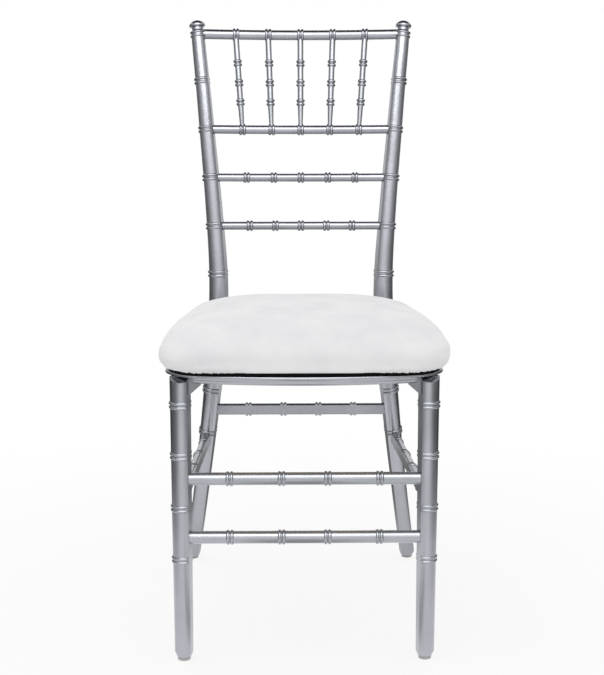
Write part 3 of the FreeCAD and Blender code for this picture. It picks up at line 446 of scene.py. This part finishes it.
@dataclass
class ChairFrame:
    """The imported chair, whose nodes keep their shapes and get their finishes."""

    upright: tuple[str, ...] = ("front_leg", "rear_post", "spindle")
    across: tuple[str, ...] = ("top_rail", "back_rail", "front_stretcher", "rear_stretcher",
                               "seat_rail_front", "seat_rail_rear")
    fore_and_aft: tuple[str, ...] = ("side_stretcher", "seat_rail_left", "seat_rail_right")
    braces: tuple[str, ...] = ("leg_brace",)
    lacquer: SilverLacquer = SilverLacquer()
    # Darker, duller copy of the silver lacquer for the leg braces: painted shade on their recessed faces,
    # which carry the same lacquer as the rest of the frame.
    shaded_lacquer: SilverLacquer = SilverLacquer("silver_painted_shade", (0.20, 0.205, 0.22), (0.27, 0.275, 0.29),
                                             roughness=0.38)
    others: dict[str, PlainFinish] = field(default_factory=lambda: {
        "seat_panel": BIRCH_PLY,
        "panel_screws": ZINC_STEEL,
        "leg_screws": ZINC_STEEL,
        "post_bolts": ZINC_STEEL,
        "barrel_nuts": ZINC_STEEL,
        "brace_screws": ZINC_STEEL,
        "glide_nails": ZINC_STEEL,
        "glide_front": GLIDE_PLASTIC,
        "glide_rear": GLIDE_PLASTIC,
        "seat_loop_pads": HOOK_TAPE,
        "cushion_hook_pads": HOOK_TAPE,
        "cushion_board": BLACK_BOARD,
        "cushion_foam": FOAM,
        "cushion_cover": FOAM,
    })

    def dress(self, nodes: dict[str, bpy.types.Object]) -> None:
        """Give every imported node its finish.

        Args:
            nodes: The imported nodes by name.

        Raises:
            ValueError: A node has no finish.
        """
        finishes: list[tuple[tuple[str, ...], bpy.types.Material]] = [
            (self.upright, self.lacquer.material(Grain.UPRIGHT)),
            (self.across, self.lacquer.material(Grain.ACROSS)),
            (self.fore_and_aft, self.lacquer.material(Grain.FORE_AND_AFT)),
            (self.braces, self.shaded_lacquer.material(Grain.ACROSS)),
        ]
        made: dict[str, bpy.types.Material] = {}
        for start, finish in self.others.items():
            if finish.name not in made:
                made[finish.name] = finish.material()
            finishes.append(((start,), made[finish.name]))
        for name, node in nodes.items():
            chosen = next((material for starts, material in finishes if name.startswith(starts)), None)
            if chosen is None:
                raise ValueError(f"no finish for {name}")
            node.data.materials.clear()
            node.data.materials.append(chosen)
            LOG.info("dressed %s in %s", name, chosen.name)


LEAST_CORNER = 0.002
FLAT_EDGE = 1e-6


@dataclass(frozen=True)
class PlanOutline:
    """Rounded outline of the cushion in plan, with edges that bow out."""

    half_front: float
    half_back: float
    front: float
    back: float
    corner: float
    bulges: tuple[float, float, float, float]

    def blend(self, other: "PlanOutline", spread: float, share: float, inset: float) -> "PlanOutline":
        """An outline between this one and another.

        Args:
            other: The outline that a spread of 1 leads to.
            spread: How far to go towards it.
            share: How much of its size the result keeps round its middle.
            inset: How far it is drawn in after that.

        Returns:
            The outline between them.
        """
        middle = (other.front + other.back) / 2.0

        def between(here: float, there: float) -> float:
            """A size between two sizes, then shrunk."""
            return (here + (there - here) * spread) * share

        return PlanOutline(
            between(self.half_front, other.half_front) - inset,
            between(self.half_back, other.half_back) - inset,
            middle + between(self.front - middle, other.front - middle) + inset,
            middle + between(self.back - middle, other.back - middle) - inset,
            max(between(self.corner, other.corner) - inset, LEAST_CORNER),
            tuple(between(*pair) for pair in zip(self.bulges, other.bulges)),
        )

    def points(self, steps: int) -> list[Vector]:
        """Points along the outline.

        Args:
            steps: How many there are on each corner and on each edge.

        Returns:
            The points, with Y measured from the front legs.
        """
        corners = [Vector((-self.half_front, self.front)), Vector((self.half_front, self.front)),
                   Vector((self.half_back, self.back)), Vector((-self.half_back, self.back))]
        starts, bends, ends = [], [], []
        for index, here in enumerate(corners):
            before = (corners[index - 1] - here).normalized()
            after = (corners[(index + 1) % 4] - here).normalized()
            half = before.angle(after) / 2.0
            run = self.corner / math.tan(half)
            bisector = (before + after).normalized()
            starts.append(here + before * run)
            bends.append(here + bisector * (self.corner / math.sin(half) - self.corner))
            ends.append(here + after * run)
        found: list[Vector] = []
        for index in range(4):
            goal = starts[(index + 1) % 4]
            chord = goal - ends[index]
            out = Vector((chord.y, -chord.x)).normalized()
            top = (ends[index] + goal) / 2.0 + out * self.bulges[index]
            found += arc_points(starts[index], bends[index], ends[index], steps)
            found += arc_points(ends[index], top, goal, steps)
        return found


def arc_points(start: Vector, through: Vector, end: Vector, steps: int) -> list[Vector]:
    """Points on the arc through three points, without its end.

    Args:
        start: Where the arc starts.
        through: A point on it.
        end: Where it ends.
        steps: How many points to return.

    Returns:
        The points.
    """
    chord = end - start
    rise = through - (start + end) / 2.0
    height = rise.length
    half = chord.length / 2.0
    if height < FLAT_EDGE:
        return [start + chord * (step / steps) for step in range(steps)]
    radius = (half * half + height * height) / (2.0 * height)
    up = rise.normalized()
    centre = through - up * radius
    reach = math.atan2(half, radius - height)
    side = chord.normalized()
    turns = [reach * (2.0 * step / steps - 1.0) for step in range(steps)]
    return [centre + side * (radius * math.sin(turn)) + up * (radius * math.cos(turn)) for turn in turns]


@dataclass(frozen=True)
class GatheredHem:
    """The cover's rolled hem, with its uneven teeth and the small pleats above it."""

    outline: PlanOutline = PlanOutline(0.197, 0.176, -0.0235, 0.322, 0.056, (0.0075, 0.005, 0.002, 0.005))
    middle: float = 0.15
    steps: int = 24
    spacing: float = 0.0013
    welt: float = 0.0011
    welt_tuck: float = 0.5
    welt_lift: float = 1.2
    welt_thinning: float = 0.25
    tooth_depth: float = 0.0028
    tooth_width: float = 0.0125
    tooth_flare: float = 0.0004
    tooth_wander: float = 0.9
    small_tooth: float = 0.37
    wander_rate: float = 35.0
    size_rate: float = 60.0
    gather_from: float = 0.085
    gather_full: float = 0.140
    gather_behind: float = 0.1
    gather_least: float = 0.05
    pleat_reach: float = 0.010
    pleat_depth: float = 0.6
    pleat_gap: float = 0.02
    # The hem's cloth is a lighter copy of the cover cloth: a painted highlight along the rolled welt, which
    # is the same white cloth as the cover.
    cloth: StretchCloth = StretchCloth("hem_painted_highlight", (0.92, 0.92, 0.925), (0.96, 0.96, 0.96))

    def line(self) -> tuple[list[Vector], list[float]]:
        """Evenly spaced points along the hem.

        Returns:
            The points, and the length of the hem up to each.
        """
        corners = self.outline.points(self.steps)
        corners.append(corners[0])
        lengths = [0.0]
        for here, after in zip(corners, corners[1:]):
            lengths.append(lengths[-1] + (after - here).length)
        count = int(lengths[-1] / self.spacing)
        found, runs = [], []
        at = 0
        for step in range(count):
            run = lengths[-1] * step / count
            while lengths[at + 1] < run:
                at += 1
            share = (run - lengths[at]) / (lengths[at + 1] - lengths[at])
            found.append(corners[at].lerp(corners[at + 1], share))
            runs.append(run)
        return found, runs

    def drop(self, place: Vector, run: float) -> float:
        """How far the gathered hem hangs at a place, as a share of its deepest tooth.

        Args:
            place: Point on the hem.
            run: Length of the hem up to it.

        Returns:
            The share, near 0 along the stretched middle of the front.
        """
        wander = noise.noise(Vector((run * self.wander_rate, 0.0, 4.2)))
        tooth = (run / self.tooth_width + self.tooth_wander * wander) % 1.0
        small = abs(math.sin(math.pi * run / (self.tooth_width * self.small_tooth)))
        size = 0.75 + 0.5 * noise.noise(Vector((run * self.size_rate, 3.1, 0.0)))
        gathered = (abs(place.x) - self.gather_from) / (self.gather_full - self.gather_from)
        gathered = min(max(gathered, 0.0), 1.0)
        if place.y > self.gather_behind:
            gathered = 1.0
        strength = self.gather_least + (1.0 - self.gather_least) * gathered
        return strength * max(0.7 * tooth * size + 0.3 * small, 0.0)

    def pull_in_pleats(self, cover: bpy.types.Object, leg_y: float, base: float) -> None:
        """Draw small pleats into the cover just above its hem.

        Args:
            cover: The filled cover.
            leg_y: Y of the front legs.
            base: Height of the hem.
        """
        line, runs = self.line()
        tree = kdtree.KDTree(len(line))
        for index, place in enumerate(line):
            tree.insert((place.x, place.y + leg_y, 0.0), index)
        tree.balance()
        for vertex in cover.data.vertices:
            height = vertex.co.z - base
            if height > 3.0 * self.pleat_reach:
                continue
            _, index, gap = tree.find((vertex.co.x, vertex.co.y, 0.0))
            if gap > self.pleat_gap:
                continue
            out = Vector((vertex.co.x, vertex.co.y - leg_y - self.middle, 0.0)).normalized()
            depth = self.drop(line[index], runs[index]) * math.exp(-(height / self.pleat_reach) ** 2)
            vertex.co -= out * (self.tooth_depth * self.pleat_depth * depth)

    def roll(self, leg_y: float, base: float) -> bpy.types.Object:
        """Make the hem's rolled edge, which hangs in small teeth away from the middle of the front.

        Args:
            leg_y: Y of the front legs.
            base: Height of the hem.

        Returns:
            The rolled edge.
        """
        line, runs = self.line()
        data = bpy.data.curves.new("hem", "CURVE")
        data.dimensions = "3D"
        spline = data.splines.new("POLY")
        spline.points.add(len(line) - 1)
        for point, place, run in zip(spline.points, line, runs):
            fall = self.drop(place, run)
            out = Vector((place.x, place.y - self.middle)).normalized()
            out *= self.tooth_flare * fall - self.welt * self.welt_tuck
            height = base + self.welt * self.welt_lift - self.tooth_depth * fall
            point.co = (place.x + out.x, place.y + out.y + leg_y, height, 1.0)
            point.radius = 1.0 - self.welt_thinning * fall
        spline.use_cyclic_u = True
        data.bevel_depth = self.welt
        data.bevel_resolution = 2
        hem = bpy.data.objects.new("cover_hem", data)
        bpy.context.scene.collection.objects.link(hem)
        select_only(hem)
        bpy.ops.object.convert(target="MESH")
        bpy.ops.object.shade_smooth()
        return hem


@dataclass
class SeatCushion:
    """Loose seat cushion: a stretched cloth cover over foam, and its gathered hem."""

    leg_y: float
    base: float
    widest: PlanOutline = PlanOutline(0.209, 0.185, -0.0315, 0.3255, 0.054, (0.0025, 0.006, 0.002, 0.006))
    hem: GatheredHem = GatheredHem()
    cloth: StretchCloth = StretchCloth()
    side_steps: int = 8
    crown_steps: int = 16
    edge_steps: int = 12
    belly: float = 0.0215
    belly_power: float = 2.8
    crown: float = 0.062
    crown_power: float = 0.52
    fuller: Pair = (0.0025, 0.0075)
    fuller_above: float = 0.32
    slack: float = 0.004
    voxel: float = 0.006
    held_share: float = 0.7
    pressure: float = 4.0
    frames: int = 20

    def profile(self) -> list[tuple[PlanOutline, float]]:
        """Outlines of the slack cover from the board to the crown.

        Returns:
            Each outline with its height.
        """
        low = self.hem.outline
        rows = []
        for step in range(self.side_steps):
            height = self.belly * step / self.side_steps
            spread = 1.0 - (1.0 - step / self.side_steps) ** self.belly_power
            rows.append((low.blend(self.widest, spread, 1.0, self.slack), self.base + height))
        for step in range(self.crown_steps):
            share = math.cos(math.pi / 2.0 * step / self.crown_steps)
            height = (self.crown - self.slack) * (1.0 - share * share) ** self.crown_power
            outline = low.blend(self.widest, 1.0, share, self.slack * share)
            rows.append((outline, self.base + self.belly + height))
        return rows

    def slack_form(self) -> bpy.types.Object:
        """Make the closed form of the cover before it is filled.

        Returns:
            The form, the only object selected.
        """
        mesh = bmesh.new()
        rings = []
        for outline, height in self.profile():
            points = outline.points(self.edge_steps)
            rings.append([mesh.verts.new((p.x, p.y + self.leg_y, height)) for p in points])
        mesh.faces.new(rings[0])
        for low, high in zip(rings, rings[1:]):
            for index in range(len(low)):
                after = (index + 1) % len(low)
                mesh.faces.new((low[index], low[after], high[after], high[index]))
        mesh.faces.new(rings[-1])
        bmesh.ops.recalc_face_normals(mesh, faces=mesh.faces)
        data = bpy.data.meshes.new("seat_cover")
        mesh.to_mesh(data)
        mesh.free()
        cover = bpy.data.objects.new("seat_cover", data)
        bpy.context.scene.collection.objects.link(cover)
        select_only(cover)
        return cover

    def cover(self) -> bpy.types.Object:
        """Make the cover, which is blown up as cloth and then gathered at its hem.

        Returns:
            The cover.
        """
        cover = self.slack_form()
        self.add_and_apply(cover, "REMESH", mode="VOXEL", voxel_size=self.voxel)
        self.blow_up(cover)
        self.add_and_apply(cover, "SUBSURF", levels=1, render_levels=1)
        self.fill_out(cover)
        self.hem.pull_in_pleats(cover, self.leg_y, self.base)
        bpy.ops.object.shade_smooth()
        return cover

    def add_and_apply(self, piece: bpy.types.Object, kind: str, **values: object) -> None:
        """Apply one modifier to a piece.

        Args:
            piece: The piece, which is the only one selected.
            kind: Blender's name for the modifier.
            **values: Its properties.
        """
        modifier = piece.modifiers.new(kind.lower(), kind)
        for key, value in values.items():
            setattr(modifier, key, value)
        bpy.ops.object.modifier_apply(modifier=modifier.name)

    def blow_up(self, cover: bpy.types.Object) -> None:
        """Fill the cover as cloth under pressure, held at the board, and cap how far it moves.

        Args:
            cover: The slack cover.
        """
        before = [vertex.co.copy() for vertex in cover.data.vertices]
        grip = self.base + self.voxel * self.held_share
        held = cover.vertex_groups.new(name="held")
        held.add([index for index, place in enumerate(before) if place.z < grip], 1.0, "REPLACE")
        modifier = cover.modifiers.new("cloth", "CLOTH")
        cloth = modifier.settings
        cloth.quality = 5
        cloth.mass = 0.3
        cloth.tension_stiffness = 15.0
        cloth.compression_stiffness = 15.0
        cloth.bending_stiffness = 0.5
        cloth.use_pressure = True
        cloth.uniform_pressure_force = self.pressure
        cloth.effector_weights.gravity = 0.0
        cloth.vertex_group_mass = held.name
        modifier.point_cache.frame_start = 1
        modifier.point_cache.frame_end = self.frames
        scene = bpy.context.scene
        for frame in range(1, self.frames + 1):
            scene.frame_set(frame)
        bpy.ops.object.modifier_apply(modifier=modifier.name)
        scene.frame_set(1)
        cover.vertex_groups.clear()
        for vertex, start in zip(cover.data.vertices, before):
            move = vertex.co - start
            if move.length > self.slack:
                move *= self.slack / move.length
            vertex.co = start + move
            vertex.co.z = max(vertex.co.z, self.base)

    def fill_out(self, cover: bpy.types.Object) -> None:
        """Stretch the cover to the cushion's full size, with its sides a little fuller above the belly.

        Args:
            cover: The filled cover.
        """
        low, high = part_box("cushion_cover")
        places = [vertex.co for vertex in cover.data.vertices]
        least = Vector([min(place[axis] for place in places) for axis in range(3)])
        most = Vector([max(place[axis] for place in places) for axis in range(3)])
        for place in places:
            for axis in range(3):
                share = (place[axis] - least[axis]) / (most[axis] - least[axis])
                place[axis] = low[axis] + share * (high[axis] - low[axis])
            height = (place.z - low.z) / (high.z - low.z)
            swell = math.sin(math.pi * max((height - self.fuller_above) / (1.0 - self.fuller_above), 0.0))
            place.x += self.fuller[int(place.x > 0.0)] * swell * place.x / high.x

    def build(self) -> None:
        """Make both pieces, give them their cloth and say what they are."""
        cover = self.cover()
        hem = self.hem.roll(self.leg_y, self.base)
        for piece, cloth in ((cover, self.cloth), (hem, self.hem.cloth)):
            piece.data.materials.append(cloth.material())
            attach(piece, "cushion")
            LOG.info("made %s in %s", piece.name, cloth.name)
        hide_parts("cushion_cover", "cushion_foam")


def select_only(piece: bpy.types.Object) -> None:
    """Make a piece the active object and the only one selected.

    Args:
        piece: The piece.
    """
    bpy.ops.object.select_all(action="DESELECT")
    piece.select_set(True)
    bpy.context.view_layer.objects.active = piece


def reflect_only(panel: bpy.types.Object) -> None:
    """Let only reflections see a panel of the studio.

    Args:
        panel: The panel.
    """
    panel.visible_camera = False
    panel.visible_diffuse = False
    panel.visible_transmission = False
    panel.visible_shadow = False


@dataclass(frozen=True)
class Lamp:
    """A soft rectangular lamp that the camera doesn't see."""

    name: str
    place: Point
    target: Point
    size: Pair
    power: float
    lights_matte: bool = True
    shines_in_gloss: bool = True

    def hang(self) -> None:
        """Hang the lamp, facing its target."""
        data = bpy.data.lights.new(self.name, "AREA")
        data.shape = "RECTANGLE"
        data.size, data.size_y = self.size
        data.energy = self.power
        lamp = bpy.data.objects.new(self.name, data)
        lamp.location = self.place
        lamp.rotation_euler = (Vector(self.target) - Vector(self.place)).to_track_quat("-Z", "Y").to_euler()
        lamp.visible_camera = False
        lamp.visible_diffuse = self.lights_matte
        lamp.visible_glossy = self.shines_in_gloss
        bpy.context.scene.collection.objects.link(lamp)


@dataclass(frozen=True)
class Flag:
    """A flat even panel that only reflections see."""

    name: str
    middle: Point
    size: Point
    level: float

    def hang(self) -> None:
        """Hang the panel."""
        bpy.ops.object.select_all(action="DESELECT")
        bpy.ops.mesh.primitive_cube_add(size=1.0, location=self.middle)
        panel = bpy.context.active_object
        panel.name = self.name
        panel.scale = self.size
        bpy.ops.object.transform_apply(location=True, rotation=True, scale=True)
        shader = Shader(self.name)
        glow = shader.add("ShaderNodeEmission", Color=WHITE, Strength=self.level)
        panel.data.materials.append(shader.finish(glow))
        reflect_only(panel)


@dataclass(frozen=True)
class PhotoCamera:
    """The camera of the photograph, placed from the front legs."""

    focal_pixels: float = 1425.0
    image_height: float = 675.0
    sensor: float = 36.0
    pitch: float = 9.46
    turn: float = 0.893
    eye_x: float = -0.0344
    eye_before_legs: float = 1.9591
    eye_height: float = 0.7972

    def place(self, leg_y: float) -> None:
        """Place the camera and make it the scene's own.

        Args:
            leg_y: Y of the front legs.
        """
        data = bpy.data.cameras.new("camera")
        data.sensor_width = self.sensor
        data.lens = self.focal_pixels * self.sensor / self.image_height
        camera = bpy.data.objects.new("camera", data)
        camera.location = (self.eye_x, leg_y - self.eye_before_legs, self.eye_height)
        camera.rotation_euler = (math.radians(90.0 - self.pitch), 0.0, -math.radians(self.turn))
        bpy.context.scene.collection.objects.link(camera)
        bpy.context.scene.camera = camera


@dataclass(frozen=True)
class PaleFloor:
    """The floor, close to white for the camera, with levels of its own for reflections."""

    size: float = 30.0
    colour: Colour = (0.86, 0.86, 0.86)
    glow_round_chair: Fade = Fade((0.45, 1.3), (0.84, 1.0))
    mirrored_aside: Fade = Fade((0.30, 1.3), (1.1, 0.16))
    mirrored_behind: Fade = Fade((0.05, 0.55), (1.0, 0.2))
    mirrored_beyond: Fade = Fade((0.7, 1.5), (0.0, 1.0))
    # Painted shadow of the chair on the floor as reflections see it, darkest round a spot under the seat.
    mirrored_shadow: Fade = Fade((0.12, 0.50), (0.52, 1.0))
    below_scale: Point = (4.0, 1.0, 1.0)
    below_shift: Point = (0.0, 0.35, 0.0)

    def mirrored(self, shader: Shader, parts: bpy.types.Node) -> bpy.types.NodeSocket:
        """How bright reflections see the floor: dimmer to the sides and behind, with a painted shadow of
        the chair under it.

        Args:
            shader: The floor's shader.
            parts: The node that gives X and Y.

        Returns:
            The brightness.
        """
        aside = shader.add("ShaderNodeMath", operation="ABSOLUTE")
        shader.join(parts, "X", aside, "Value")
        sides = shader.fade(aside.outputs["Value"], self.mirrored_aside)
        behind = shader.fade(parts.outputs["Y"], self.mirrored_behind)
        beyond = shader.fade(parts.outputs["Y"], self.mirrored_beyond)
        # Painted shadow under the chair: reflections see the floor dimmer round a spot under the seat.
        under = shader.length(shader.place(self.below_scale, self.below_shift), "Vector")
        below = shader.fade(under, self.mirrored_shadow)
        lengthwise = shader.combine("MAXIMUM", behind, beyond)
        return shader.combine("MULTIPLY", shader.combine("MULTIPLY", sides, lengthwise), below)

    def lay(self) -> None:
        """Lay the floor."""
        bpy.ops.object.select_all(action="DESELECT")
        bpy.ops.mesh.primitive_plane_add(size=self.size, location=(0.0, 0.0, 0.0))
        floor = bpy.context.active_object
        floor.name = "floor"
        shader = Shader("pale_floor")
        rays = shader.add("ShaderNodeLightPath")
        where = shader.add("ShaderNodeTexCoord")
        parts = shader.add("ShaderNodeSeparateXYZ")
        shader.join(where, "Object", parts, "Vector")
        near = shader.fade(shader.length(where, "Object"), self.glow_round_chair)
        matte = shader.add("ShaderNodeBsdfDiffuse", Color=(*self.colour, 1.0))
        glow = shader.add("ShaderNodeEmission", Color=WHITE, Strength=1.0)
        seen = shader.mix(shader.combine("MULTIPLY", near, rays.outputs["Is Camera Ray"]), matte, glow)
        shine = shader.add("ShaderNodeEmission", Color=WHITE)
        shader.tree.links.new(self.mirrored(shader, parts), shine.inputs["Strength"])
        floor.data.materials.append(shader.finish(shader.mix(rays.outputs["Is Glossy Ray"], seen, shine)))


@dataclass(frozen=True)
class RoundWall:
    """A round wall that only reflections see: bright in front, dark beside and light behind."""

    radius: float = 2.6
    height: float = 1.9
    sides: int = 96
    strength: float = 1.4
    foot_level: float = 0.55
    foot_span: Pair = (0.15, 0.50)
    levels: tuple[Pair, ...] = (
        (0.0, 0.95), (38.0, 0.69), (55.0, 0.48), (74.0, 0.32), (94.0, 0.21), (140.0, 0.14), (152.0, 0.71),
    )

    def depth_share(self, turn: float) -> float:
        """Where a turn away from the front lies between the wall's front and its back."""
        return (1.0 - math.cos(math.radians(turn))) / 2.0

    def stand(self) -> None:
        """Stand the wall on the floor, round the chair."""
        bpy.ops.object.select_all(action="DESELECT")
        bpy.ops.mesh.primitive_cylinder_add(vertices=self.sides, radius=self.radius, depth=self.height,
                                            end_fill_type="NOTHING", location=(0.0, 0.0, self.height / 2.0))
        wall = bpy.context.active_object
        wall.name = "studio_wall"
        bpy.ops.object.transform_apply(location=True, rotation=True, scale=True)
        shader = Shader("studio_wall")
        where = shader.add("ShaderNodeTexCoord")
        parts = shader.add("ShaderNodeSeparateXYZ")
        shader.join(where, "Object", parts, "Vector")
        back = shader.add("ShaderNodeMapRange", From_Min=-self.radius, From_Max=self.radius)
        shader.join(parts, "Y", back, "Value")
        ramp = shader.add("ShaderNodeValToRGB")
        stops = ramp.color_ramp.elements
        for turn, _ in self.levels[2:]:
            stops.new(self.depth_share(turn))
        for stop, (turn, level) in zip(stops, self.levels):
            stop.position = self.depth_share(turn)
            stop.color = (level, level, level, 1.0)
        shader.join(back, "Result", ramp, "Fac")
        foot = Fade(self.foot_span, (self.foot_level * self.strength, self.strength))
        glow = shader.add("ShaderNodeEmission")
        shader.join(ramp, "Color", glow, "Color")
        shader.tree.links.new(shader.fade(parts.outputs["Z"], foot), glow.inputs["Strength"])
        wall.data.materials.append(shader.finish(glow))
        reflect_only(wall)


@dataclass
class Studio:
    """Floor, round wall, lamps, even light and the camera of the photograph."""

    camera: PhotoCamera = PhotoCamera()
    floor: PaleFloor = PaleFloor()
    even_light: float = 0.875
    front_softbox: Lamp = Lamp("front_softbox", (0.0, -1.67, 2.43), (0.0, 0.18, 0.90), (2.8, 1.5), 34.0,
                               lights_matte=False)
    overhead_key: Lamp = Lamp("overhead_key", (-0.6, -0.6, 2.6), (0.0, 0.1, 0.5), (1.0, 1.0), 6.0,
                              shines_in_gloss=False)
    wall: RoundWall = RoundWall()
    top_flag: Flag = Flag("top_flag", (0.0, 1.65, 3.2), (5.0, 5.0, 0.02), 0.05)

    def sky(self) -> None:
        """Light the scene evenly, and show white behind it and in what mirrors it."""
        world = bpy.data.worlds.new("studio")
        bpy.context.scene.world = world
        world.use_nodes = True
        nodes = NodeTree(world.node_tree)
        rays = nodes.add("ShaderNodeLightPath")
        seen = nodes.combine("MAXIMUM", rays.outputs["Is Camera Ray"], rays.outputs["Is Glossy Ray"])
        seen = nodes.combine("MAXIMUM", seen, rays.outputs["Is Transmission Ray"])
        even = nodes.add("ShaderNodeBackground", Color=WHITE, Strength=self.even_light)
        white = nodes.add("ShaderNodeBackground", Color=WHITE, Strength=1.0)
        out = nodes.add("ShaderNodeOutputWorld")
        nodes.join(nodes.mix(seen, even, white), "Shader", out, "Surface")

    def build(self, leg_y: float) -> None:
        """Set up the whole studio.

        Args:
            leg_y: Y of the front legs.
        """
        self.camera.place(leg_y)
        self.floor.lay()
        self.sky()
        self.front_softbox.hang()
        self.overhead_key.hang()
        self.wall.stand()
        self.top_flag.hang()


def main() -> None:
    """Dress the chair, make its cushion and light it."""
    logging.basicConfig(level=logging.INFO, format="%(message)s")
    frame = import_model()
    bpy.context.scene.view_settings.view_transform = "Standard"
    ChairFrame().dress(frame["nodes"])
    low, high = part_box("glide_front_left")
    leg_y = (low.y + high.y) / 2.0
    board_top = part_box("cushion_board")[1].z
    SeatCushion(leg_y, board_top).build()
    Studio().build(leg_y)


if __name__ == "__main__":
    main()
